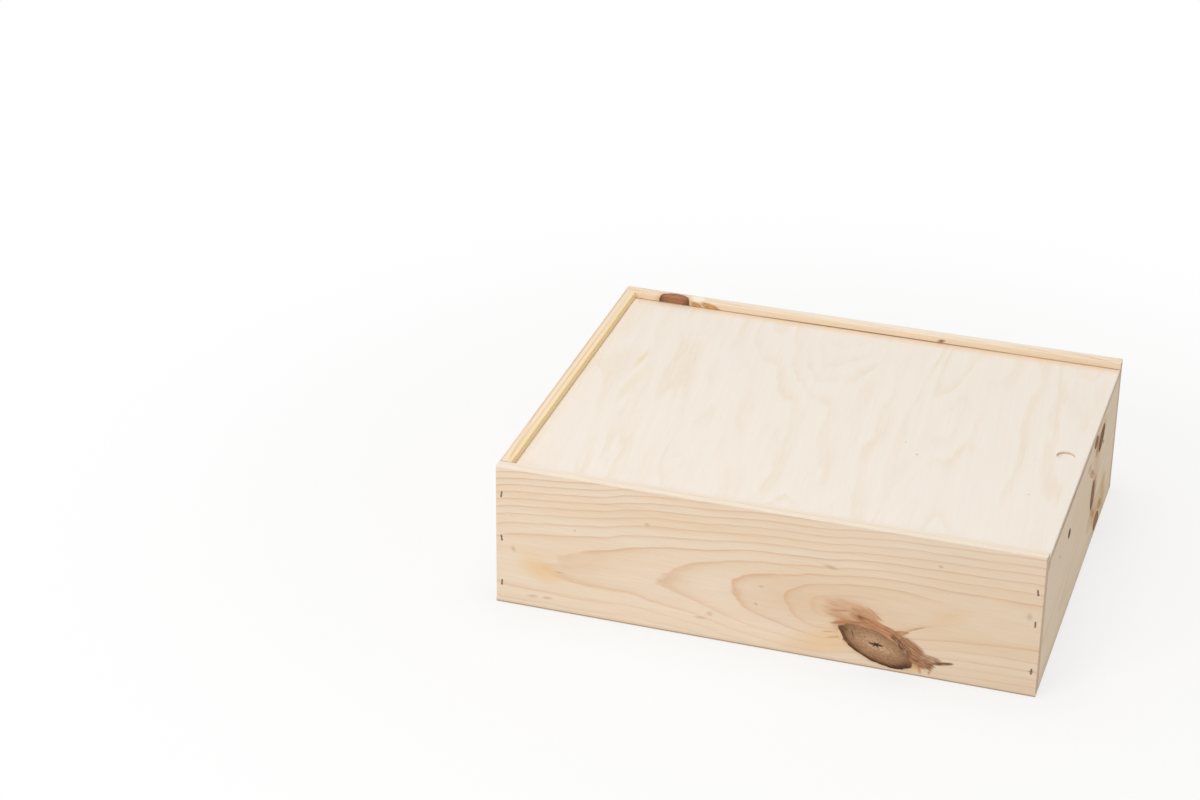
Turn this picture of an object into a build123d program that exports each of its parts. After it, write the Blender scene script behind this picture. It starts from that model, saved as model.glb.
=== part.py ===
# Wooden wine box with a sliding lid, for three bottles laid side by side.
# Millimetres. The origin is under the middle of the box, +X points to the end that the lid
# pulls out of, +Y to the rear side and +Z up.
import os

from build123d import *

# Outside of the closed box
box_length = 360
box_width = 286
box_height = 102

# Solid pine boards: the long sides cover the ends of the two end boards
side_thickness = 8
end_thickness = 8
edge_round = 0.8

# Plywood base panel, flush with the outside of the boards
base_thickness = 2.5
base_edge_round = 0.5

# Plywood lid with a blind finger recess near its pull end
lid_thickness = 3.2
lid_edge_round = 0.4
lid_end_inset = 0.3
finger_recess_diameter = 12.4
finger_recess_depth = 2.2
finger_recess_cove = 0.8
finger_recess_from_end = 14

# Lid groove, run along both sides and across the fixed end, with a lip of wood above it
lip_height = 4.8
groove_depth = 3
lid_edge_clearance = 0.6
lid_running_clearance = 0.2
lid_top_clearance = 0.4
low_end_clearance = 0.5

# Plywood dividers, half-lapped into each other and standing loose on the base panel
divider_thickness = 3.6
divider_height = 57.5
divider_end_clearance = 0.4
lap_clearance = 0.3
lap_height_share = 0.5
bottle_count = 3
neck_bay_length = 67
neck_notch_width = 32
neck_notch_depth = 34.5

# Steel wire staples, driven a little below the face of the wood
staple_crown = 4.4
corner_staple_leg = 20
base_staple_leg = 14
staple_wire_width = 1.2
staple_wire_thickness = 1
staple_bend = 0.7
staple_point = 1.4
staple_sink = 0.4

# Heights of the corner staples as shares of the box height, and how far each crown leans over
# to the low end in degrees, uneven as driven by hand
corner_staple_shares = {"fixed": (0.15, 0.48, 0.80), "low": (0.18, 0.52, 0.745)}
corner_staple_leans = {"fixed": (4, -9, 8), "low": (2, 0, -9)}

# Places of the base staples as shares of the box length and of the box width
side_base_staple_shares = (-0.42, -0.14, 0.14, 0.42)
end_base_staple_shares = (-0.3, 0, 0.3)

# Cuts that leave through a face run this far past it
overrun = 1

# Places that follow from the sizes above
outer_x = box_length / 2
outer_y = box_width / 2
inner_x = outer_x - end_thickness
inner_y = outer_y - side_thickness
side_middle = (inner_y + outer_y) / 2
end_middle = (inner_x + outer_x) / 2
groove_ceiling = box_height - lip_height
lid_top = groove_ceiling - lid_top_clearance
lid_bottom = lid_top - lid_thickness
groove_floor = lid_bottom - lid_running_clearance
bay_width = (2 * inner_y - (bottle_count - 1) * divider_thickness) / bottle_count
bay_pitch = bay_width + divider_thickness
divider_top = base_thickness + divider_height
lap_level = base_thickness + lap_height_share * divider_height
neck_divider_centre = inner_x - neck_bay_length - divider_thickness / 2

# Which way each side and each end lies from the middle of the box
sides = {"front": -1, "rear": 1}
ends = {"fixed": -1, "low": 1}


def grooved_section(outer, inner):
    # Section of a board that carries the lid: upright, with the groove in its inner face
    groove_back = inner + groove_depth
    corners = [
        (outer, base_thickness),
        (outer, box_height),
        (inner, box_height),
        (inner, groove_ceiling),
        (groove_back, groove_ceiling),
        (groove_back, groove_floor),
        (inner, groove_floor),
        (inner, base_thickness),
    ]
    return make_face(Polyline(*corners, close=True))


def rear_side():
    # A moulded length of the grooved section with its outer and top edges eased
    section = Plane.YZ * grooved_section(outer_y, inner_y)
    board = extrude(section, amount=outer_x, both=True)
    top_edges = board.edges().filter_by(Axis.X).group_by(Axis.Z)[-1]
    corner_edges = board.edges().filter_by(Axis.Z).group_by(Axis.Y)[-1]
    return fillet(top_edges + corner_edges, edge_round)


def fixed_end():
    # The full-height end, grooved like the sides and fitted between them
    section = Plane.XZ * grooved_section(outer_x, inner_x)
    board = extrude(section, amount=inner_y, both=True)
    board = fillet(board.edges().filter_by(Axis.Y).group_by(Axis.Z)[-1], edge_round)
    return mirror(board, about=Plane.YZ)


def low_end():
    # The end that the lid passes over, cut down a little below the floor of the groove
    height = groove_floor - low_end_clearance - base_thickness
    return Pos(end_middle, 0, base_thickness + height / 2) * Box(end_thickness, 2 * inner_y, height)


def base():
    panel = Pos(0, 0, base_thickness / 2) * Box(box_length, box_width, base_thickness)
    return fillet(panel.edges().group_by(Axis.Z)[0], base_edge_round)


def lid():
    # A plate that runs in the grooves and ends flush with the low end
    reach = groove_depth - lid_edge_clearance
    left = -(inner_x + reach)
    right = outer_x - lid_end_inset
    plate = Box(right - left, 2 * (inner_y + reach), lid_thickness)
    plate = Pos((left + right) / 2, 0, lid_bottom + lid_thickness / 2) * plate
    plate = fillet(plate.edges().group_by(Axis.Z)[-1], lid_edge_round)
    bit = Cylinder(finger_recess_diameter / 2, finger_recess_depth + overrun)
    bit = fillet(bit.edges().group_by(Axis.Z)[0], finger_recess_cove)
    recess_x = outer_x - finger_recess_from_end
    recess_z = lid_top + (overrun - finger_recess_depth) / 2
    return plate - Pos(recess_x, 0, recess_z) * bit


def long_divider(centre_y):
    # A strip along the box, slotted from its top edge for the neck divider
    strip = Box(2 * (inner_x - divider_end_clearance), divider_thickness, divider_height)
    strip = Pos(0, centre_y, base_thickness + divider_height / 2) * strip
    slot_bottom = lap_level - lap_clearance / 2
    slot_height = divider_top + overrun - slot_bottom
    slot = Box(divider_thickness + lap_clearance, divider_thickness + overrun, slot_height)
    return strip - Pos(neck_divider_centre, centre_y, slot_bottom + slot_height / 2) * slot


def neck_divider():
    # A strip across the box with a round-bottomed notch for each bottle neck, slotted from
    # its lower edge for the long dividers
    width = 2 * (inner_y - divider_end_clearance)
    outline = Pos(0, base_thickness + divider_height / 2) * Rectangle(width, divider_height)
    notch_radius = neck_notch_width / 2
    notch_centre = divider_top - neck_notch_depth + notch_radius
    notch_side = divider_top + overrun - notch_centre
    for bay in range(bottle_count):
        bay_y = (bay - (bottle_count - 1) / 2) * bay_pitch
        outline -= Pos(bay_y, notch_centre) * Circle(notch_radius)
        outline -= Pos(bay_y, notch_centre + notch_side / 2) * Rectangle(neck_notch_width, notch_side)
    slot_top = lap_level + lap_clearance / 2
    slot_height = slot_top - base_thickness + overrun
    slot_width = divider_thickness + lap_clearance
    for lap in range(bottle_count - 1):
        lap_y = (lap - (bottle_count - 2) / 2) * bay_pitch
        outline -= Pos(lap_y, slot_top - slot_height / 2) * Rectangle(slot_width, slot_height)
    strip = extrude(Plane.YZ * outline, amount=divider_thickness / 2, both=True)
    return Pos(neck_divider_centre, 0, 0) * strip


def staple(leg):
    # A U of wire: the crown lies along X with its top at the origin, the legs run down -Y
    # and end in slanted points
    half_crown = staple_crown / 2
    half_gap = half_crown - staple_wire_thickness
    outline = [
        (-half_crown, 0),
        (half_crown, 0),
        (half_crown, -leg),
        (half_gap, staple_point - leg),
        (half_gap, -staple_wire_thickness),
        (-half_gap, -staple_wire_thickness),
        (-half_gap, staple_point - leg),
        (-half_crown, -leg),
    ]
    wire = make_face(Polyline(*outline, close=True))
    wire = fillet(wire.vertices().group_by(Axis.Y)[-1], staple_bend)
    return extrude(wire, amount=staple_wire_width / 2, both=True)


def staple_hole(leg):
    # What a driven staple takes out of the wood: its own wire and the slit above its crown
    slit_height = staple_sink + staple_bend + overrun
    slit = Box(staple_crown, slit_height, staple_wire_width)
    return staple(leg) + Pos(0, slit_height / 2 - staple_bend) * slit


def seat(face_point, crown, outward):
    # The plane of a driven staple: X along its crown and Y out of the wood
    origin = Vector(*face_point) - Vector(*outward) * staple_sink
    return Plane(origin=origin, x_dir=crown, z_dir=Vector(*crown).cross(Vector(*outward)))


def corner_seats(side, end):
    # Through a side board into the end grain of an end board, crowns nearly upright
    across = sides[side] * outer_y
    along = ends[end] * end_middle
    outward = (0, sides[side], 0)
    seats = []
    for share, lean in zip(corner_staple_shares[end], corner_staple_leans[end]):
        crown = Vector(0, 0, 1).rotate(Axis.Y, lean)
        seats.append(seat((along, across, share * box_height), crown, outward))
    return seats


def base_seats(board):
    # Up through the base panel into the lower edge of a board, crowns along the board
    down = (0, 0, -1)
    if board in sides:
        across = sides[board] * side_middle
        return [seat((share * box_length, across, 0), (1, 0, 0), down) for share in side_base_staple_shares]
    along = ends[board] * end_middle
    return [seat((along, share * box_width, 0), (0, 1, 0), down) for share in end_base_staple_shares]


boards = {
    "front": mirror(rear_side(), about=Plane.XZ),
    "rear": rear_side(),
    "fixed": fixed_end(),
    "low": low_end(),
}
base_panel = base()
corner_staples = []
base_staples = []

# Each corner's staples pass through one side board into one end board
for side in sides:
    for end in ends:
        seats = corner_seats(side, end)
        corner_staples += [plane * staple(corner_staple_leg) for plane in seats]
        holes = [plane * staple_hole(corner_staple_leg) for plane in seats]
        boards[side] -= holes
        boards[end] -= holes

# The base panel is stapled to all four boards
for board in boards:
    seats = base_seats(board)
    base_staples += [plane * staple(base_staple_leg) for plane in seats]
    holes = [plane * staple_hole(base_staple_leg) for plane in seats]
    boards[board] -= holes
    base_panel -= holes

nodes = {
    "front_side_board": boards["front"],
    "rear_side_board": boards["rear"],
    "fixed_end_board": boards["fixed"],
    "low_end_board": boards["low"],
    "base_panel": base_panel,
    "sliding_lid": lid(),
    "front_long_divider": long_divider(-bay_pitch / 2),
    "rear_long_divider": long_divider(bay_pitch / 2),
    "neck_divider": neck_divider(),
    "corner_staples": Compound(children=corner_staples),
    "base_staples": Compound(children=base_staples),
}

os.makedirs("parts", exist_ok=True)
for name, shape in nodes.items():
    export_step(shape, f"parts/{name}.step")
    print(name, "volume", round(shape.volume))
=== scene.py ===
from functools import partial
from math import cos, pi, radians, sin

import bpy
import numpy as np
from mathutils import Matrix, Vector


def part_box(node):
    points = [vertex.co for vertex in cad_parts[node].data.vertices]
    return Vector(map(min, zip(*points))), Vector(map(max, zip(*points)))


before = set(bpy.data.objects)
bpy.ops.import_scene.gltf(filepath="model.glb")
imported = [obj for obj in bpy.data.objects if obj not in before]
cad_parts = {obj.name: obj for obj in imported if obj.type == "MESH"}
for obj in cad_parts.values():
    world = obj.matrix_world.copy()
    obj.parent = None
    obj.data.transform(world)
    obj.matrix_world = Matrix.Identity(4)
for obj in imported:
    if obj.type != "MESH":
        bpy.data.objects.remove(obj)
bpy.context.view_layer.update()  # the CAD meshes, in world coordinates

scene = bpy.context.scene
scene.view_settings.view_transform = "Standard"


def linear(colour):
    # sRGB hex to linear light, as the shader sockets take it
    parts = np.array([int(colour[i:i + 2], 16) for i in (1, 3, 5)]) / 255
    light = np.where(parts <= 0.04045, parts / 12.92, ((parts + 0.055) / 1.055) ** 2.4)
    return (*map(float, light), 1.0)


def grey(value):
    return (value, value, value, 1.0)


def addNode(tree, kind, feeds=(), **settings):
    # One node: settings are its options, feeds go to its sockets in order, or by name from a dict
    made = tree.nodes.new("ShaderNode" + kind)
    for option, value in settings.items():
        if option == "stops":  # (place, colour) pairs of a colour ramp
            stops = made.color_ramp.elements
            stops.remove(stops[1])
            stops[0].position, stops[0].color = value[0]
            for place, colour in value[1:]:
                stops.new(place).color = colour
        elif option == "points":  # (x, y) pairs of a float curve
            line = made.mapping.curves[0].points
            line[0].location, line[1].location = value[0], value[-1]
            for x, y in value[1:-1]:
                line.new(x, y)
            made.mapping.update()
        else:
            setattr(made, option, value)
    sockets = [socket for socket in made.inputs if socket.enabled]
    named = feeds if isinstance(feeds, dict) else dict(enumerate(feeds))
    for key, feed in named.items():
        socket = made.inputs[key] if isinstance(key, str) else sockets[key]
        if isinstance(feed, bpy.types.Node):
            feed = next(output for output in feed.outputs if output.enabled)
        if isinstance(feed, bpy.types.NodeSocket):
            tree.links.new(feed, socket)
        else:
            socket.default_value = feed
    return made


def newMaterial(name):
    material = bpy.data.materials.new(name)
    material.use_nodes = True
    material.node_tree.nodes.clear()
    return material, partial(addNode, material.node_tree)


def dress(name, material):
    # A CAD node keeps its mesh and gets the material in its slot
    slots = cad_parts[name].data.materials
    slots.clear()
    slots.append(material)


def boardPlace(add, axes):
    # Object coordinates in mm, turned to (along the grain, across it, through the board)
    place = add("VectorMath", (add("TexCoord").outputs["Object"], 1000.0), operation="SCALE")
    split = add("SeparateXYZ", (place,)).outputs
    return add("CombineXYZ", [split[axis] for axis in axes])


def drift(add, place, size, detail=2.0):
    # Soft noise from 0 to 1 whose blotches are size mm long, wide and deep
    cells = tuple(1 / length for length in size)
    scaled = add("VectorMath", (place, cells), operation="MULTIPLY")
    return add("TexNoise", (scaled, 1.0, detail, 0.55))


def alongLine(add, along, points):
    # A smooth line through (mm along the board, value) points
    spots, values = zip(*points)
    low, high = min(values), max(values)
    span = high - low or 1
    shares = [((x - spots[0]) / (spots[-1] - spots[0]), (v - low) / span) for x, v in points]
    share = add("MapRange", (along, spots[0], spots[-1], 0.0, 1.0))
    line = add("FloatCurve", (1.0, share), points=shares)
    return add("MapRange", (line, 0.0, 1.0, low, low + span))


def reachIn(add, place):
    return add("VectorMath", (place,), operation="LENGTH").outputs["Value"]


def ringCount(add, place, form):
    # The log's rings are cylinders round a pith behind the face: the count at a point is
    # swell + pith - sqrt((pith - depth)^2 + height^2), each in rings, and every whole number is a latewood line.
    # The height is measured from the heart line and flattened there to sqrt(h^2 + flat^2) - flat, so that the
    # arches are round, and near the heart line a crest lifts the count and fades as exp(-(h / crestWidth)^2)
    along, across, through = add("SeparateXYZ", (place,)).outputs
    heart, swell, crest = (alongLine(add, along, form[line]) for line in ("heart", "swell", "crest"))
    height = add("Math", (across, heart), operation="SUBTRACT")
    fade = add("Math", (add("Math", (height, form["crestWidth"]), operation="DIVIDE"), 2.0), operation="POWER")
    fade = add("Math", (add("Math", (fade, -1.0), operation="MULTIPLY"),), operation="EXPONENT")
    swell = add("Math", (crest, fade, swell), operation="MULTIPLY_ADD")
    height = reachIn(add, add("CombineXYZ", (height, form["flat"])))
    height = add("Math", (height, form["ringsPerMm"], -form["flat"] * form["ringsPerMm"]), operation="MULTIPLY_ADD")
    inward = form["inward"] * form["ringsPerMm"]
    gap = add("Math", (through, -inward, form["pith"] + inward * form["face"]), operation="MULTIPLY_ADD")
    radius = reachIn(add, add("CombineXYZ", (gap, height)))
    return add("Math", (add("Math", (swell, form["pith"]), operation="ADD"), radius), operation="SUBTRACT")


# Camera, fitted to the photograph's corners of the box; a 36 mm wide sensor stands for 1200 pixels
view = dict(place=(0.3974, -1.7313, 1.0375), azimuth=17.702, elevation=27.703, roll=0.595, lens=89.63)


def makeCamera():
    data = bpy.data.cameras.new("camera")
    data.sensor_width = 36
    data.lens = view["lens"]
    data.clip_end = 100
    camera = bpy.data.objects.new("camera", data)
    scene.collection.objects.link(camera)
    turn = Matrix.Rotation(radians(view["azimuth"]), 4, "Z")
    tip = Matrix.Rotation(radians(90 - view["elevation"]), 4, "X")
    roll = Matrix.Rotation(radians(view["roll"]), 4, "Z")
    camera.matrix_world = Matrix.Translation(view["place"]) @ turn @ tip @ roll
    scene.camera = camera
    print("camera: lens", view["lens"], "mm")


studio = dict(
    floorRadius=9.0, floorMiddle=0.02, floorDrop=0.0002, floorColour="#F2F1EF", ambient=0.50,
    shade=0.30,  # share of the floor's own shade that the camera sees near the box
    clearRadius=(0.22, 0.60),  # the floor turns to plain white between these radii, in metres
)
lamps = {
    "key": dict(place=(-0.50, -1.08, 0.78), aim=(0.0, -0.10, 0.05), size=0.7, power=4.7),
    "top": dict(place=(-0.10, 0.10, 2.1), aim=(0.0, 0.0, 0.10), size=1.6, power=18.4),
}


def seenRays(add):
    # 1 for what the eye sees straight, in a mirror or through glass, and 0 for the light that falls on the box
    rays = add("LightPath").outputs
    seen = add("Math", (rays["Is Camera Ray"], rays["Is Glossy Ray"]), operation="MAXIMUM")
    return add("Math", (seen, rays["Is Transmission Ray"]), operation="MAXIMUM")


def makeFloor():
    # A flat disc just under the box: circles of radius r at angle a, points (r cos a, r sin a), the inmost one filled
    circles, steps = 6, 96
    r, a = np.meshgrid(np.linspace(studio["floorMiddle"], studio["floorRadius"], circles),
                       np.arange(steps) * 2 * pi / steps, indexing="ij")
    grid = np.stack([r * np.cos(a), r * np.sin(a), np.full_like(r, -studio["floorDrop"])], -1).reshape(-1, 3)
    index = np.arange(circles * steps).reshape(circles, steps)
    turned = np.roll(index, -1, axis=1)
    quads = np.stack([index[:-1], index[1:], turned[1:], turned[:-1]], -1).reshape(-1, 4)
    middle = [list(map(int, index[0]))]
    mesh = bpy.data.meshes.new("floor")
    mesh.from_pydata(grid.tolist(), [], quads.tolist() + middle)
    floor = bpy.data.objects.new("floor", mesh)
    scene.collection.objects.link(floor)
    # Matte white board: lights the box as a pale floor would, and shows the eye white with the box's shadow
    material, add = newMaterial("matte white board")
    seen = seenRays(add)
    place = reachIn(add, add("TexCoord").outputs["Object"])
    near, far = studio["clearRadius"]
    white = add("MapRange", (place, near, far, 1 - studio["shade"], 1.0), interpolation_type="SMOOTHSTEP")
    share = add("Math", (seen, white), operation="MULTIPLY")
    matte = add("BsdfDiffuse", (linear(studio["floorColour"]),))
    glow = add("Emission", (grey(1.0), 1.0))
    add("OutputMaterial", (add("MixShader", (share, matte, glow)),))
    mesh.materials.append(material)
    print("floor: radius", studio["floorRadius"], "m")


def makeLight():
    world = bpy.data.worlds.new("studio")
    scene.world = world
    world.use_nodes = True
    world.node_tree.nodes.clear()
    add = partial(addNode, world.node_tree)
    seen = seenRays(add)
    soft = add("Background", (grey(1.0), studio["ambient"]))
    white = add("Background", (grey(1.0), 1.0))
    add("OutputWorld", (add("MixShader", (seen, soft, white)),))
    for name, lamp in lamps.items():
        data = bpy.data.lights.new(name, "AREA")
        data.size = lamp["size"]
        data.energy = lamp["power"]
        light = bpy.data.objects.new(name, data)
        scene.collection.objects.link(light)
        reach = np.array(lamp["aim"]) - np.array(lamp["place"])
        swing = np.arctan2(reach[0], -reach[1])
        lean = np.arctan2(np.hypot(reach[0], reach[1]), -reach[2])
        light.matrix_world = (Matrix.Translation(lamp["place"]) @ Matrix.Rotation(pi + swing, 4, "Z")
                              @ Matrix.Rotation(lean, 4, "X"))
    print("light:", ", ".join(lamps))


# Planed pine, unfinished: pale cream-pink earlywood, thin tan latewood lines with one crisp edge, brown knots
pine = dict(
    early="#F2DFC8", warm="#F0D6B9", late="#DFB48C", duct="#B98E62", endGrain="#DFD6CE",
    pith=8.6, ringsPerMm=0.24, flat=4.0, crestWidth=22.0, wander=1.4, ripple=0.35,
    roughness=0.62, specular=0.3, bump=0.22, bumpDepth=0.0003, tornRelief=6.0,
    # Sizes along, across and through the board in mm; the ducts are drawn about twice their real width to show
    wanderSize=(95, 30, 30), rippleSize=(16, 7, 7), unevenSize=(70, 22, 22), patchSize=(40, 7, 7),
    streakSize=(170, 13, 13), ductSize=(4.5, 0.55, 0.55), fibreSize=(24, 0.8, 0.8),
    # Strength of a latewood line over one ring, from its crisp edge to the next earlywood
    lateShape=((0.0, 0.0), (0.05, 1.0), (0.11, 0.82), (0.20, 0.38), (0.36, 0.12), (0.7, 0.0)),
)
knotTone = dict(heart="#D8B08C", wood="#B58C68", deep="#80593A", rim="#523018", line="#8A6244", collar="#BE845C",
                halo="#DDB384", crack="#3A2416")
# Where a knot's parts begin and end, as shares of its half-size, and how strong its lines and grit are
knotShape = dict(heart=(0.55, 1.05), deep=(1.05, 1.6), bark=(0.84, 1.06), edge=(0.97, 1.03), collar=(1.10, 1.38),
                 halo=0.95, ringStrength=0.24, gritStrength=0.75, gritSize=(2.0, 0.9), crackStrength=0.92)
darkKnot = dict(heart="#8A6240", wood="#74502F", deep="#5E3D20", rim="#52341A", line="#5E3E22")
brownKnot = dict(heart="#A0764A", wood="#8A6034", deep="#724C27", rim="#644020", line="#744E2A")


def ellipse(add, board, face, spot):
    # Place within a tilted ellipsoid in the board: length 0 at its middle and 1 at its edge. Dot products with its
    # three axes leave fewer values waiting in the shader than a Mapping node does
    offset = add("VectorMath", (board, (*spot["at"], spot.get("through", face))), operation="SUBTRACT")
    (long, wide), deep, turn = spot["size"], spot.get("depth", 6), radians(spot.get("tilt", 0))
    axes = (cos(turn) / long, sin(turn) / long, 0), (-sin(turn) / wide, cos(turn) / wide, 0), (0, 0, 1 / deep)
    return add("CombineXYZ", [add("VectorMath", (offset, axis), operation="DOT_PRODUCT").outputs["Value"]
                              for axis in axes])


def softMark(add, wood, local, mark):
    # A soft spot of colour, or several of one colour: stains, and on some boards painted light, shade and shadow; the
    # wood turns to it inside ellipses with a soft edge
    share = 0.0
    for spot in mark.get("spots", (mark,)):
        within = add("MapRange", (reachIn(add, local(spot)), mark.get("core", 0.1), 1.0, mark["strength"], 0.0),
                     interpolation_type="SMOOTHSTEP")
        share = add("Math", (within, share), operation="MAXIMUM")
    return add("Mix", (share, wood, linear(mark["colour"])), data_type="RGBA")


def tornGrain(add, wood, local, tear):
    # Torn, resin-soaked fibres: streaks along a tilted ellipse, light between dark strands, with a ragged edge
    strand = tear["strand"]
    strands = add("TexNoise", (local({**tear, "size": (strand * 9, strand), "depth": 40}), 1.0, 3.0, 0.6, 2.0, 0.5))
    ragged = add("Math", (strands, tear.get("ragged", 0.9), reachIn(add, local(tear))), operation="MULTIPLY_ADD")
    edge = 0.5 * tear.get("ragged", 0.9)
    share = add("MapRange", (ragged, 0.55 + edge, 1.0 + edge, tear["strength"], 0.0),
                interpolation_type="SMOOTHSTEP")
    wood = add("Mix", (share, wood, linear(tear["colour"])), data_type="RGBA")
    for colour, ends in (("dark", (0.50, 0.32)), ("pale", (0.50, 0.66))):
        part = add("Math", (add("MapRange", (strands, *ends, 0.0, 1.0)), share), operation="MULTIPLY")
        wood = add("Mix", (part, wood, linear(tear[colour])), data_type="RGBA")
    return wood


def knot(add, wood, local, spec):
    # A branch cut across: rings of an ellipse round its heart, dark bark along its lower rim, a reddish collar of
    # bent wood over its upper rim, a warm halo and a star crack
    tone = {**knotTone, **spec.get("tone", {})}
    place = local({"depth": 400, **spec})
    ragged = spec.get("ragged", 0.2)
    rough = add("TexNoise", (place, 2.4, 4.0, 0.6)).outputs["Color"]
    shift = add("VectorMath", (rough, (ragged,) * 3, (-ragged / 2,) * 3), operation="MULTIPLY_ADD")
    bent = add("VectorMath", (place, shift), operation="ADD")
    reach = reachIn(add, bent)
    below = add("SeparateXYZ", (bent,)).outputs["Y"]
    halo = add("MapRange", (reach, knotShape["halo"], spec["haloReach"], spec["haloStrength"], 0.0),
               interpolation_type="SMOOTHSTEP")
    wood = add("Mix", (halo, wood, linear(tone["halo"])), data_type="RGBA")
    upper = add("MapRange", (below, -0.15, 0.45, 0.0, spec.get("collar", 0.0)))
    collar = add("MapRange", (reach, *knotShape["collar"], 1.0, 0.0), interpolation_type="SMOOTHSTEP")
    collar = add("Math", (collar, upper), operation="MULTIPLY")
    wood = add("Mix", (collar, wood, linear(tone["collar"])), data_type="RGBA")
    fine = add("TexNoise", (place, 5.0, 3.0, 0.6))
    mottle = add("Math", (add("TexNoise", (place, 1.7, 3.0, 0.6)), 0.9, reach), operation="MULTIPLY_ADD")
    mottle = add("Math", (below, -0.25, mottle), operation="MULTIPLY_ADD")  # lighter to its upper side
    outward = add("MapRange", (mottle, *knotShape["heart"], 0.0, 1.0))
    body = add("Mix", (outward, linear(tone["heart"]), linear(tone["wood"])), data_type="RGBA")
    outward = add("MapRange", (mottle, *knotShape["deep"], 0.0, 1.0))
    body = add("Mix", (outward, body, linear(tone["deep"])), data_type="RGBA")
    count = add("Math", (add("Math", (fine, 0.16, reach), operation="MULTIPLY_ADD"), spec["rings"]),
                operation="MULTIPLY")
    ring = add("MapRange", (add("Math", (count,), operation="FRACT"), 0.45, 1.0, 0.0, knotShape["ringStrength"]))
    body = add("Mix", (ring, body, linear(tone["line"])), data_type="RGBA")
    grit = add("TexNoise", (local({**spec, "size": knotShape["gritSize"], "depth": 2}), 1.0, 3.0, 0.65))
    grit = add("MapRange", (grit, 0.48, 0.66, 0.0, knotShape["gritStrength"]))
    body = add("Mix", (grit, body, linear(tone["line"])), data_type="RGBA")
    bark = add("Math", (fine, 0.22, reach), operation="MULTIPLY_ADD")
    bark = add("MapRange", (bark, *knotShape["bark"], 0.0, 1.0), interpolation_type="SMOOTHSTEP")
    lower = add("MapRange", (below, 0.35, -0.25, spec.get("upperBark", 0.35), 1.0))
    body = add("Mix", (add("Math", (bark, lower), operation="MULTIPLY"), body, linear(tone["rim"])), data_type="RGBA")
    inside = add("MapRange", (reach, *knotShape["edge"], 1.0, 0.0), interpolation_type="SMOOTHSTEP")
    wood = add("Mix", (inside, wood, body), data_type="RGBA")
    for angle, length, width in spec.get("cracks", ()):
        line = local({**spec, "at": spec["heartAt"], "tilt": angle, "size": (length, width), "depth": 50})
        line = add("VectorMath", (line, add("VectorMath", (shift, 4.0), operation="SCALE")), operation="ADD")
        share = add("MapRange", (reachIn(add, line), 0.6, 1.0, knotShape["crackStrength"], 0.0))
        wood = add("Mix", (share, wood, linear(tone["crack"])), data_type="RGBA")
    return wood


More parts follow.
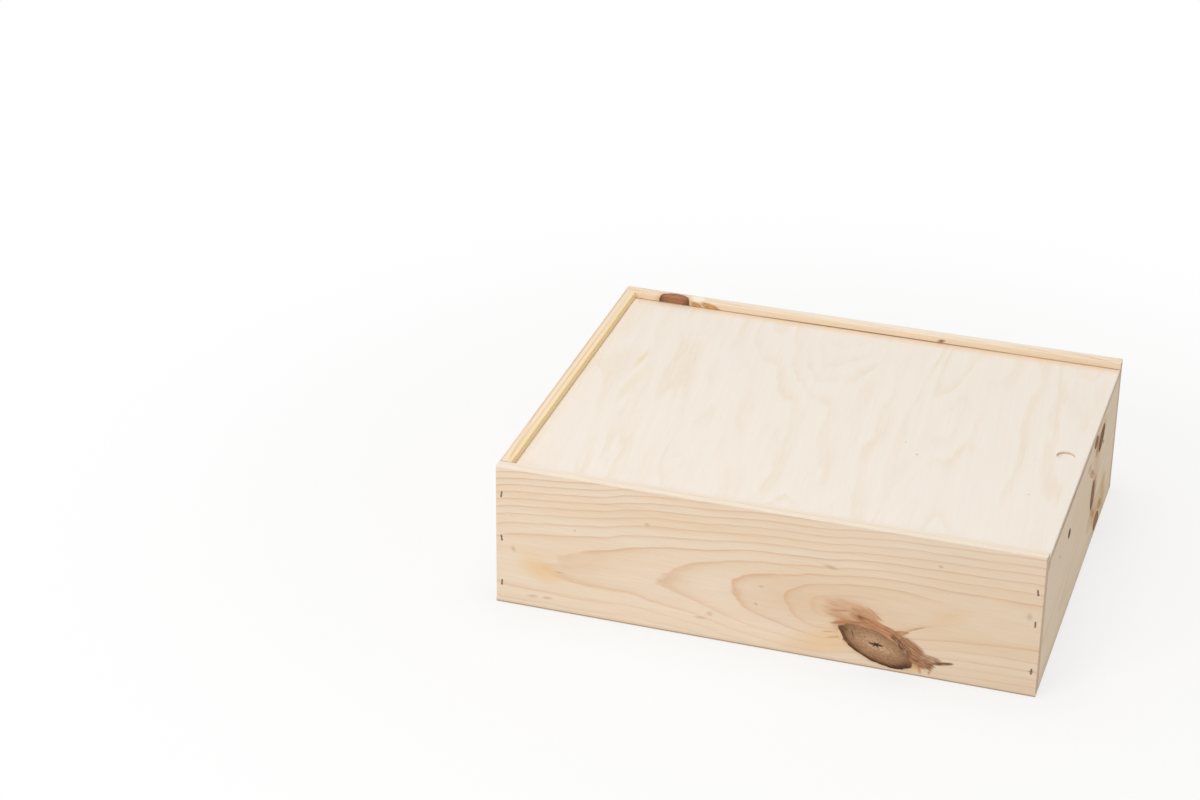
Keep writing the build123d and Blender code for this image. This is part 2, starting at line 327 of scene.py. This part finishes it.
def pineMaterial(name, look):
    material, add = newMaterial(name)
    tone = {**pine, **look.get("tone", {})}
    board = boardPlace(add, look["axes"])
    local = partial(ellipse, add, board, look["face"])
    # Fibres wander slowly and ripple a little
    bent = board
    for bend in ("wander", "ripple"):
        swing = tone[bend]
        wave = drift(add, board, tone[bend + "Size"]).outputs["Color"]
        shift = add("VectorMath", (wave, (0, 2 * swing, 2 * swing), (0, -swing, -swing)), operation="MULTIPLY_ADD")
        bent = add("VectorMath", (bent, shift), operation="ADD")
    count = ringCount(add, bent, {**tone, **look})
    uneven = add("MapRange", (drift(add, board, tone["unevenSize"]), 0.0, 1.0, -0.06, 0.06))
    count = add("Math", (count, uneven), operation="ADD")
    for dome in look.get("domes", ()):  # rings bulge round a knot
        lift = add("MapRange", (reachIn(add, local({"depth": 40, **dome})), 0.0, 1.0, dome["rings"], 0.0),
                   interpolation_type="SMOOTHSTEP")
        count = add("Math", (count, lift), operation="ADD")
    shape = [(place, grey(value)) for place, value in tone["lateShape"]]
    late = add("ValToRGB", (add("Math", (count,), operation="FRACT"),), stops=shape)
    year = add("TexWhiteNoise", (add("Math", (count,), operation="FLOOR"),), noise_dimensions="1D")
    late = add("Math", (late, add("MapRange", (year, 0.0, 1.0, 0.6, 1.0))), operation="MULTIPLY")
    patchy = add("MapRange", (drift(add, board, tone["patchSize"]), 0.3, 0.7, 0.7, 1.0))
    late = add("Math", (late, patchy), operation="MULTIPLY")
    for calm in look.get("calm", ()):  # places where the lines fade out
        quiet = add("MapRange", (reachIn(add, local(calm)), 0.35, 1.0, 1 - calm["strength"], 1.0),
                    interpolation_type="SMOOTHSTEP")
        late = add("Math", (late, quiet), operation="MULTIPLY")
    # Earlywood with slow warm streaks, then the latewood lines, stains with painted light and shade, torn grain and
    # knots
    streak = add("MapRange", (drift(add, board, tone["streakSize"], 3.0), 0.35, 0.7, 0.0, 1.0))
    wood = add("Mix", (streak, linear(tone["early"]), linear(tone["warm"])), data_type="RGBA")
    wood = add("Mix", (late, wood, linear(tone["late"])), data_type="RGBA")
    # Resin ducts: short brown dashes
    duct = add("MapRange", (drift(add, board, tone["ductSize"], 1.0), 0.735, 0.80, 0.0, 0.4))
    wood = add("Mix", (duct, wood, linear(tone["duct"])), data_type="RGBA")
    for mark in look.get("marks", ()):
        wood = softMark(add, wood, local, mark)
    fibre = drift(add, board, tone["fibreSize"], 3.0)
    for tear in look.get("tears", ()):
        wood = tornGrain(add, wood, local, tear)
    for spec in look.get("knots", ()):
        wood = knot(add, wood, local, spec)
    for tear in look.get("overKnots", ()):
        wood = tornGrain(add, wood, local, tear)
    relief = add("Math", (fibre, late), operation="ADD")
    for patch in look.get("raised", ()):  # one field of raised strands for all the tears in it, to keep renders quick
        strand = patch["strand"]
        strands = add("TexNoise", (local({**patch, "size": (strand * 9, strand), "depth": 40}), 1.0, 2.0, 0.6))
        within = add("MapRange", (reachIn(add, local(patch)), 0.6, 1.0, tone["tornRelief"], 0.0),
                     interpolation_type="SMOOTHSTEP")
        relief = add("Math", (strands, within, relief), operation="MULTIPLY_ADD")
    shade = add("MapRange", (fibre, 0.3, 0.7, 0.96, 1.03))
    wood = add("Mix", (1.0, wood, shade), data_type="RGBA", blend_type="MULTIPLY")
    # End grain drinks the light: greyer and darker where the face looks along the board
    facing = add("SeparateXYZ", (add("TexCoord").outputs["Normal"],)).outputs[look["axes"][0]]
    ends = add("MapRange", (add("Math", (facing,), operation="ABSOLUTE"), 0.6, 0.9, 0.0, 1.0))
    wood = add("Mix", (ends, wood, linear(tone["endGrain"])), data_type="RGBA", blend_type="MULTIPLY")
    bump = add("Bump", {"Strength": tone["bump"], "Distance": tone["bumpDepth"], "Height": relief})
    rough = add("MapRange", (fibre, 0.2, 0.8, tone["roughness"] - 0.05, tone["roughness"] + 0.07))
    shader = add("BsdfPrincipled", {"Base Color": wood, "Roughness": rough, "Normal": bump,
                                    "Specular IOR Level": tone["specular"]})
    add("OutputMaterial", (shader,))
    return material


frontBoard = dict(
    axes="XZY", face=-143.0, inward=1.0,
    heart=((-180, 31.5), (-160, 33), (-110, 37), (-74, 41), (-20, 40), (10, 39.5), (33, 39.5), (60, 43), (110, 48),
           (180, 50)),
    swell=((-180, -0.35), (-163, 0), (-150, 0.07), (-120, 0.33), (-100, 0.53), (-80, 0.82), (-73, 0.98), (-66, 1.05),
           (-60, 1.12), (-40, 1.46), (-20, 2), (0, 2.42), (18, 2.6), (33, 2.68), (60, 2.6), (115, 2.3), (180, 2.37)),
    crest=((-180, 0), (-20, 0), (0, 0.1), (8, 0.14), (17, 0.4), (26, 0.86), (33, 1.32), (45, 1.6), (60, 1.7),
           (80, 1.6), (115, 1), (180, 0.4)),
    calm=(
        dict(at=(138, 49), size=(75, 17), depth=9, strength=1.0),
        dict(at=(80, 44), size=(30, 16), depth=9, strength=0.8),
        dict(at=(-152, 32), size=(24, 11), depth=9, strength=0.5),
        dict(at=(-130, 42), size=(24, 8), tilt=14, depth=9, strength=0.6),
    ),
    marks=(
        dict(at=(-149, 30), size=(23, 13), tilt=-25, colour="#F0C68E", strength=0.6),
        dict(at=(40, 40), size=(75, 32), colour="#E3BE97", strength=0.5),
        dict(at=(130, 40), size=(120, 70), core=0.3, colour="#EBCFAE", strength=0.35),
        # Painted light: a paler band along the bottom edge stands in for light bounced up from the floor
        dict(at=(-20, -4), size=(260, 48), colour="#FBE9D2", strength=0.55),
        dict(at=(48, 15), size=(60, 15), tilt=18, colour="#F0C68E", strength=0.5),
        dict(at=(122, 47), size=(22, 9), tilt=20, colour="#EBC79A", strength=0.4),
        dict(at=(0, 105), size=(600, 4.2), depth=30, core=0.86, colour="#EFE2D0", strength=0.85),
        dict(at=(0, 102.4), through=-138.6, size=(260, 2), depth=0.5, colour="#CDBBA4", strength=0.6),
        dict(at=(176, 18.4), size=(2.8, 0.9), tilt=4, colour="#7A6248", strength=0.7),
        dict(at=(102.5, 7), size=(6, 6), colour="#F2D29A", strength=0.9),
        dict(colour="#C59B6E", strength=0.6, spots=(
            dict(at=(45, 21.6), size=(7, 1), tilt=7), dict(at=(49, 18.4), size=(8, 1), tilt=15))),
        dict(colour="#D99B63", strength=0.9, spots=(
            dict(at=(105.3, 4.6), size=(1.7, 4.5), tilt=12), dict(at=(111.6, 4.6), size=(1.5, 3.6), tilt=-8))),
        dict(colour="#C6AA8A", strength=0.5, spots=(  # pale flecks
            dict(at=(-168, 42.3), size=(2.4, 3.4), tilt=25), dict(at=(-77, 77.4), size=(3, 1.8)),
            dict(at=(-154.7, 8.7), size=(5.5, 1.6), tilt=8), dict(at=(-33.8, 19.2), size=(3.2, 2.4)),
            dict(at=(172, 57.9), size=(3, 4)), dict(at=(-40, 15), size=(6, 1.6)))),
        dict(colour="#B8966E", strength=0.5, spots=(  # brown flecks
            dict(at=(-136, 30.2), size=(5, 0.9)), dict(at=(-125.7, 63.8), size=(0.9, 1.6)),
            dict(at=(-144.5, 9.2), size=(5.5, 1.5), tilt=4), dict(at=(-0.2, 46.2), size=(2.6, 1)),
            dict(at=(-3.3, 32.5), size=(2.2, 1.3), tilt=-30), dict(at=(44.3, 69.2), size=(7, 2), tilt=-8),
            dict(at=(114.4, 83), size=(2.6, 1.6)))),
    ),
    tears=(
        dict(at=(59, 38.8), size=(22, 10.5), tilt=-7, strand=2.6, strength=0.65, ragged=0.6,
             dark="#C4936D", colour="#D6AA84", pale="#E0BC98"),
        dict(at=(68, 37), size=(12.5, 7), tilt=-22, strand=2.0, strength=0.75, ragged=0.6,
             dark="#B9835B", colour="#CB9770", pale="#D6AA84"),
        dict(at=(74.5, 40.4), size=(8.5, 0.8), tilt=-40, strand=0.9, strength=0.7, ragged=0.5,
             dark="#B98A62", colour="#C79A74", pale="#D6AE8A"),
        dict(at=(68, 35.4), size=(7, 1.8), tilt=-19, strand=0.8, strength=0.95,
             dark="#6F4427", colour="#8A5B3A", pale="#B78459"),
        dict(at=(51, 38.6), size=(8, 1.2), tilt=7, strand=0.9, strength=0.5,
             dark="#A9795A", colour="#BC8E6C", pale="#CFA686"),
        dict(at=(57, 30.4), size=(12, 1.8), tilt=9, strand=0.8, strength=0.9,
             dark="#8A5835", colour="#AE7852", pale="#C08F66"),
        dict(at=(78, 31), size=(16, 4.2), tilt=-17, strand=1.3, strength=0.95,
             dark="#9A6340", colour="#C08660", pale="#D2A27A"),
        dict(at=(60, 31.4), size=(14, 0.7), tilt=8, strand=0.7, strength=0.8,
             dark="#6F4427", colour="#8A5B3A", pale="#A9774F"),
        dict(at=(91, 29.6), size=(7, 2.4), tilt=12, strand=1.2, strength=0.85,
             dark="#A5744B", colour="#B9865A", pale="#CFA477"),
        dict(at=(99, 33.4), size=(11, 0.9), tilt=26, strand=0.8, strength=0.6,
             dark="#B98C60", colour="#CBA273", pale="#DAB78C"),
        dict(at=(98, 21), size=(14, 5.6), tilt=-32, strand=1.2, strength=0.95, ragged=0.6,
             dark="#85583A", colour="#AA7854", pale="#C99C72"),
    ),
    raised=(
        dict(at=(70, 35), size=(24, 9), tilt=-14, strand=1.4),
        dict(at=(100, 19), size=(24, 8), tilt=-32, strand=0.8),
    ),
    knots=(
        dict(at=(75.8, 16.4), size=(25.8, 10.7), tilt=-22, ragged=0.3, rings=5.5, haloReach=1.3, haloStrength=0.5,
             collar=0.8, upperBark=0.15, heartAt=(76.4, 18.2), cracks=((-5, 6, 1.1), (38, 3.2, 0.8), (-52, 3, 0.8))),
    ),
    overKnots=(
        dict(at=(52.9, 20.4), size=(6.6, 1.5), tilt=-65, strand=1.0, strength=1.0, ragged=0.5,
             dark="#E3BD92", colour="#EFCFA6", pale="#F1D5B0"),
        dict(at=(55.4, 20.8), size=(7, 1.2), tilt=-64, strand=0.8, strength=0.95, ragged=0.7,
             dark="#4A2C18", colour="#6B4528", pale="#8A6242"),
        dict(at=(54.4, 26.2), size=(3.8, 1.8), tilt=-20, strand=0.8, strength=0.9,
             dark="#4F321E", colour="#6B4A33", pale="#8F6E55"),
        dict(at=(60.6, 23.6), size=(3.6, 0.6), tilt=-72, strand=0.6, strength=0.8,
             dark="#5C3E2A", colour="#6E4D38", pale="#94745C"),
        dict(at=(57.2, 17), size=(3.6, 1), tilt=-24, strand=0.7, strength=0.9,
             dark="#5C3E2A", colour="#7A563E", pale="#A98465"),
        dict(at=(95, 17.8), size=(13, 3.4), tilt=-50, strand=0.62, strength=1.0,
             dark="#4F3120", colour="#8E6246", pale="#D8B698"),
        dict(at=(89, 24.6), size=(5.5, 2), tilt=-40, strand=0.7, strength=0.95,
             dark="#4F3120", colour="#8A5F44", pale="#C49A78"),
        dict(at=(106, 11.6), size=(11, 6), tilt=-22, strand=0.75, strength=1.0, ragged=0.8,
             dark="#6E432B", colour="#AC7A58", pale="#D0A684"),
        dict(at=(112, 14), size=(9, 3.6), tilt=-10, strand=1.0, strength=0.95, ragged=0.6,
             dark="#8C674C", colour="#BC9474", pale="#D8B89C"),
        dict(at=(119.4, 12.5), size=(9, 1.4), tilt=10, strand=0.7, strength=1.0,
             dark="#5A3C28", colour="#7F5C44", pale="#A98B72"),
    ),
)
rearBoard = dict(
    axes="XZY", face=143.0, inward=-1.0,
    heart=((-180, 70), (-60, 62), (60, 58), (180, 48)),
    swell=((-180, 3.4), (-90, 2.4), (0, 1.3), (90, 0.5), (180, 0)),
    crest=((-180, 0.3), (0, 0.5), (180, 0.2)),
    domes=(
        dict(at=(72, 30), size=(40, 20), tilt=4, rings=1.3),
        dict(at=(-58, 66), size=(34, 17), tilt=-6, rings=1.2),
    ),
    marks=(
        dict(colour="#A97E55", strength=0.6, spots=[  # resin dashes
            dict(at=spot, size=(5, 0.6), tilt=-5)
            for spot in ((-150, 40), (-96, 22), (-22, 34), (8, 78), (38, 60), (112, 74), (150, 24))]),
        dict(at=(20, 104), through=142, size=(260, 4), depth=9, core=0.5, colour="#F4E9DA", strength=0.8),
        dict(at=(-20, 101), through=134, size=(190, 4), depth=3.4, colour="#F1D6AA", strength=0.4),
        # Painted light: the lip's inner face above the lid is painted paler, as if more light fell on it
        dict(at=(0, 99.6), through=134.4, size=(600, 3.6), depth=2.6, core=0.6, colour="#FCE8CC", strength=0.8),
        # Painted shadow: a thin dark brown line on the lip where it meets the lid, the shade of the gap between them
        dict(at=(5, 97), through=135, size=(120, 0.7), depth=2.5, core=0.4, colour="#8E6238", strength=0.85),
        dict(at=(-126, 102), through=138, size=(7, 4), depth=6, core=0.5, colour="#F8EEDA", strength=0.9),
        dict(at=(53.5, 98.6), through=135, size=(4.2, 2), tilt=14, depth=3, colour="#8E6040", strength=0.9),
        dict(at=(172, 101.6), through=143, size=(3.6, 1.6), depth=1.4, colour="#A9A79C", strength=0.8),
    ),
    tears=(
        dict(at=(-126.5, 98.6), through=134.8, size=(5, 2.4), tilt=-14, depth=3.4, strand=0.9, strength=0.95,
             dark="#A8713C", colour="#D09A58", pale="#E9C894"),
        dict(at=(-116, 98.8), through=134.8, size=(9, 2.6), tilt=-14, depth=3.4, strand=0.9, strength=0.95,
             dark="#B27A40", colour="#D6A262", pale="#EDCB96"),
    ),
    knots=(
        dict(at=(-142.5, 97), through=133, size=(11.8, 15), depth=8.4, rings=4, haloReach=1.4, haloStrength=0.6,
             tone=dict(heart="#C0835B", wood="#A77455", rim="#6B432E", line="#83543B")),
        dict(at=(72, 30), size=(9, 6.2), tilt=8, ragged=0.5, rings=4, haloReach=1.9, haloStrength=0.7, collar=0.6,
             heartAt=(72.5, 30.4), cracks=((14, 3, 0.5), (-40, 1.8, 0.4)), tone=dict(rim="#7A5638")),
        dict(at=(-58, 66), size=(6.4, 4.2), tilt=-10, ragged=0.5, rings=3, haloReach=1.9, haloStrength=0.7,
             tone=dict(rim="#7A5638")),
    ),
)
fixedBoard = dict(
    axes="YZX", face=-180.0, inward=1.0,
    heart=((-135, 45), (0, 46), (135, 47)),
    swell=((-135, 0.1), (0, 0.7), (135, 0.4)),
    crest=((-135, 0), (-60, 0.4), (10, 1.1), (70, 0.5), (135, 0)),
    domes=(dict(at=(64, 40), size=(36, 18), tilt=5, rings=1.2),),
    marks=(
        dict(colour="#A97E55", strength=0.6, spots=[  # resin dashes
            dict(at=spot, size=(4.5, 0.6), tilt=4) for spot in ((-110, 62), (-66, 20), (-18, 74), (104, 26))]),
        dict(at=(0, 103), through=-177.2, size=(260, 4), depth=1.9, colour="#F8E8CC", strength=0.7),
        # The lip's inner face: its golden tone is the wood's own, and it is painted paler on top of that as painted
        # light
        dict(at=(0, 101), through=-172.4, size=(600, 6), depth=2.8, core=0.3, colour="#FCE0A8", strength=0.8),
        dict(at=(10, 102), through=-175.2, size=(170, 2), depth=0.5, colour="#C9A06A", strength=0.6),
        dict(at=(0, 102), through=-180, size=(600, 2), depth=2.4, colour="#DDB889", strength=0.6),
        # Painted shadow: a thin dark brown line on the lip where it meets the lid, the shade of the gap between them
        dict(at=(0, 96.9), through=-172, size=(260, 0.7), depth=2, core=0.4, colour="#8F6438", strength=0.8),
    ),
    knots=(
        dict(at=(64, 40), size=(8, 5.6), tilt=6, ragged=0.5, rings=4, haloReach=1.9, haloStrength=0.7, collar=0.6,
             heartAt=(64, 40.4), cracks=((-20, 2.6, 0.5),), tone=dict(rim="#7A5638")),
    ),
)
lowBoard = dict(
    axes="YZX", face=180.0, inward=-1.0,
    heart=((-135, 20), (0, 24), (135, 30)),
    swell=((-135, 0.3), (0, 0.9), (60, 1.6), (135, 1.2)),
    crest=((-135, 0.2), (60, 0.6), (135, 0.3)),
    tone=dict(early="#EFDDC5", warm="#EDD6B8", late="#E1C3A1", specular=0.1),
    marks=(
        # Painted light: a paler band along the bottom edge stands in for light bounced up from the floor
        dict(at=(-20, -4), size=(200, 48), colour="#F6E4CC", strength=0.5),
        dict(at=(99, 18), size=(14, 32), tilt=25, colour="#D6B476", strength=0.75),
        dict(at=(-134, 90), size=(6, 4), colour="#9A7A58", strength=0.6),
        dict(at=(52, 62), size=(26, 40), colour="#D9B596", strength=0.5),
        dict(at=(62, 22), size=(34, 12), tilt=-22, colour="#CFA06E", strength=0.55),
        dict(at=(20, 79), size=(12, 4), tilt=-8, colour="#BE9874", strength=0.6),
        dict(at=(-53.5, 70), size=(6.4, 4), tilt=-20, core=0.7, colour="#5A3D12", strength=1.0),
        # Painted shade under the lid's edge along the top of the end, with a little darker wood tone in it
        dict(at=(-60, 93), size=(130, 3.4), colour="#A98F70", strength=0.5),
        dict(at=(-88, 72), size=(4, 2), tilt=-20, colour="#B49675", strength=0.7),
    ),
    tears=(
        dict(at=(34, 68), size=(16, 3.4), tilt=-30, strand=1.6, strength=0.7,
             dark="#A06A42", colour="#C2936A", pale="#DDBF9C"),
        dict(at=(56, 80), size=(15, 7), tilt=12, strand=1.5, strength=0.75,
             dark="#7E4E2E", colour="#A87650", pale="#CFA680"),
        dict(at=(52, 46), size=(10, 14), tilt=8, strand=1.5, strength=0.6,
             dark="#9A6440", colour="#B98760", pale="#D2AC84"),
        dict(at=(54, 27), size=(14, 3.2), tilt=-35, strand=1.4, strength=0.7,
             dark="#9A6E49", colour="#BB8D62", pale="#D9B48A"),
        dict(at=(88, 16), size=(12, 5), tilt=-30, strand=1.6, strength=0.7,
             dark="#8A5B38", colour="#B98552", pale="#D2AB76"),
        dict(at=(78, 70), size=(4, 1.6), tilt=-18, strand=1.0, strength=0.8,
             dark="#4F3424", colour="#7C5A42", pale="#B79676"),
    ),
    knots=(
        dict(at=(67.5, 78.4), size=(12, 7.6), tilt=18, rings=4, haloReach=1.8, haloStrength=0.5, tone=darkKnot),
        dict(at=(46.2, 45), size=(7.6, 11.5), tilt=5, rings=4, haloReach=1.8, haloStrength=0.5, tone=brownKnot),
        dict(at=(78, 7.5), size=(12, 7), tilt=-18, rings=4, haloReach=2.0, haloStrength=0.5,
             tone=dict(brownKnot, heart="#B58A55", wood="#A0763F", deep="#8A6130")),
        dict(at=(42.5, 87.5), size=(8, 4.4), tilt=-10, rings=3, haloReach=1.8, haloStrength=0.4, tone=brownKnot),
    ),
)


def dressBoards():
    looks = {"front_side_board": frontBoard, "rear_side_board": rearBoard,
             "fixed_end_board": fixedBoard, "low_end_board": lowBoard}
    for name, look in looks.items():
        dress(name, pineMaterial("pine " + name.replace("_", " "), look))
    print("pine boards:", len(looks))


# Birch and poplar plywood, sanded: cream face veneer peeled round the log, so that its rings show as faint watery bands
# along the grain, closed into long arches where the log bulged; at the edges the layers show
lidSheet = dict(
    axes="YXZ", turn=6, veil="#F1E7DB", figure="#ECDDC9", core="#D6C2A4", under="#E4D3BA", veneer=0.9,
    drift=(190, 34, 34), rings=3.6, ringsPerMm=0.03, feather=0.4, roughness=0.55, specular=0.35,
    bump=0.15, bumpDepth=0.0002,
    # Sizes along, across and through the grain in mm, and the strength of a watery band over one ring
    fibreSize=(22, 0.9, 0.9), faintSize=(70, 30, 30), streakSize=(140, 3.5, 3.5),
    bandShape=((0.0, 0.0), (0.14, 0.9), (0.34, 0.5), (0.65, 0.12), (1.0, 0.0)),
    domes=(
        dict(at=(150, -10), size=(160, 50), tilt=4, rings=3.6),
        dict(at=(120, -66), size=(105, 28), tilt=4, rings=1.6),
        dict(at=(100, 72), size=(115, 20), tilt=4, rings=1.4),
        dict(at=(-130, 82), size=(160, 24), tilt=4, rings=2.4),
        dict(at=(-155, 14), size=(62, 42), rings=1.8),
        dict(at=(150, 156), size=(80, 26), rings=1.4),
        dict(at=(-60, -76), size=(70, 12), tilt=4, rings=1.0),
    ),
    marks=(
        # Painted shadow: a warm soft strip on the lid along the rear lip, its shade tinted by light bounced off the lip
        dict(at=(136, 20), size=(11, 700), core=0.15, colour="#E6C6A0", strength=0.7),
        # Painted light: a bright strip on the lid along the fixed end, painted over the shade of the lip beside it
        dict(at=(0, -173), size=(700, 5), core=0.3, colour="#FFF4E0", strength=0.8),
        dict(at=(44, -139), size=(22, 3.4), tilt=5, colour="#EAD4AC", strength=0.75),
        dict(at=(4, -135), size=(42, 6), tilt=5, colour="#EBDCC0", strength=0.5),
        dict(at=(-30, 73), size=(1.6, 1.2), colour="#B9A68F", strength=0.8),
        dict(at=(-59, 152.5), size=(1.3, 0.9), colour="#B9A68F", strength=0.7),
        dict(at=(-15.8, 62.5), size=(1.4, 0.7), colour="#C3AE94", strength=0.7),
    ),
)
baseSheet = dict(lidSheet, axes="XYZ", turn=0, veil="#E9D8BF", figure="#DCC5A4", core="#E6D2B6", under="#BE9A78",
                 veneer=1.1, domes=(), marks=())
dividerSheet = dict(lidSheet, turn=0, veil="#ECDFD2", figure="#E0CFBC", core="#D8C6AE", under="#ECDFD2", domes=(),
                    marks=())


def plywood(name, sheet, low, high):
    # low and high are the two faces of the sheet, in mm along its thin axis
    material, add = newMaterial(name)
    board = boardPlace(add, sheet["axes"])
    local = partial(ellipse, add, board, high)
    grain = add("Mapping", (board, (0, 0, 0), (0, 0, radians(sheet["turn"])), (1, 1, 1)))
    fibre = drift(add, grain, sheet["fibreSize"], 3.0)
    # The ring count climbs across the sheet, drifts, rises in the domes and is feathered by the fibres
    slope = add("SeparateXYZ", (grain,)).outputs["Y"]
    count = add("Math", (slope, sheet["ringsPerMm"], 20.0), operation="MULTIPLY_ADD")
    count = add("Math", (drift(add, grain, sheet["drift"], 3.0), sheet["rings"], count), operation="MULTIPLY_ADD")
    count = add("Math", (fibre, sheet["feather"], count), operation="MULTIPLY_ADD")
    for dome in sheet["domes"]:
        lift = add("MapRange", (reachIn(add, local(dome)), 0.0, 1.0, dome["rings"], 0.0),
                   interpolation_type="SMOOTHSTEP")
        count = add("Math", (count, lift), operation="ADD")
    bands = add("Math", (count,), operation="FRACT")
    figure = add("ValToRGB", (bands,), stops=[(place, grey(value)) for place, value in sheet["bandShape"]])
    faint = add("MapRange", (drift(add, grain, sheet["faintSize"], 3.0), 0.38, 0.64, 0.15, 1.0))
    figure = add("Math", (figure, faint), operation="MULTIPLY")
    wood = add("Mix", (figure, linear(sheet["veil"]), linear(sheet["figure"])), data_type="RGBA")
    for mark in sheet["marks"]:
        wood = softMark(add, wood, local, mark)
    streak = drift(add, grain, sheet["streakSize"], 3.0)
    shade = add("MapRange", (add("Math", (fibre, streak), operation="ADD"), 0.7, 1.3, 0.982, 1.012))
    wood = add("Mix", (1.0, wood, shade), data_type="RGBA", blend_type="MULTIPLY")
    # Layers, seen only where the surface is an edge of the sheet
    thin = sheet["axes"][2]
    depth = add("MapRange", (add("SeparateXYZ", (board,)).outputs["Z"], low, high, 0.0, 1.0))
    inner = sheet["veneer"] / (high - low)
    layers = ((0.0, "under"), (inner - 0.02, "under"), (inner + 0.02, "core"), (0.98 - inner, "core"),
              (1.02 - inner, "veil"))
    layer = add("ValToRGB", (depth,), stops=[(place, linear(sheet[veneer])) for place, veneer in layers])
    facing = add("SeparateXYZ", (add("TexCoord").outputs["Normal"],)).outputs[thin]
    edge = add("MapRange", (add("Math", (facing,), operation="ABSOLUTE"), 0.35, 0.7, 1.0, 0.0))
    wood = add("Mix", (edge, wood, layer), data_type="RGBA")
    bump = add("Bump", {"Strength": sheet["bump"], "Distance": sheet["bumpDepth"], "Height": fibre})
    shader = add("BsdfPrincipled", {"Base Color": wood, "Roughness": sheet["roughness"], "Normal": bump,
                                    "Specular IOR Level": sheet["specular"]})
    add("OutputMaterial", (shader,))
    return material


def dressSheets():
    plans = {
        "sliding_lid": ("birch plywood lid", lidSheet),
        "base_panel": ("birch plywood base", baseSheet),
        "front_long_divider": ("poplar plywood front divider", dict(dividerSheet, axes="XZY")),
        "rear_long_divider": ("poplar plywood rear divider", dict(dividerSheet, axes="XZY")),
        "neck_divider": ("poplar plywood neck divider", dict(dividerSheet, axes="YZX")),
    }
    for name, (title, sheet) in plans.items():
        lowest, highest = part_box(name)
        thin = "XYZ".index(sheet["axes"][2])
        dress(name, plywood(title, sheet, lowest[thin] * 1000, highest[thin] * 1000))
    print("plywood sheets:", len(plans))


# Galvanised staple wire: grey steel with darker, warmer blotches, partly dirt and partly painted shade of the slots
wire = dict(colour="#A2978A", dull="#736859", grimeAndShadeSize=(1.6, 1.6, 1.6), roughness=0.42, dullRoughness=0.62)


def dressStaples():
    material, add = newMaterial("galvanised steel wire")
    board = boardPlace(add, "XYZ")
    # Darker, warmer blotches all over the wire: some dirt, some painted shade of the slots the staples sit in
    grimeAndShade = add("MapRange", (drift(add, board, wire["grimeAndShadeSize"]), 0.35, 0.65, 0.0, 1.0))
    colour = add("Mix", (grimeAndShade, linear(wire["colour"]), linear(wire["dull"])), data_type="RGBA")
    rough = add("MapRange", (grimeAndShade, 0.0, 1.0, wire["roughness"], wire["dullRoughness"]))
    shader = add("BsdfPrincipled", {"Base Color": colour, "Metallic": 1.0, "Roughness": rough})
    add("OutputMaterial", (shader,))
    for name in ("corner_staples", "base_staples"):
        dress(name, material)
    print("staples dressed")


makeCamera()
makeFloor()
makeLight()
dressBoards()
dressSheets()
dressStaples()
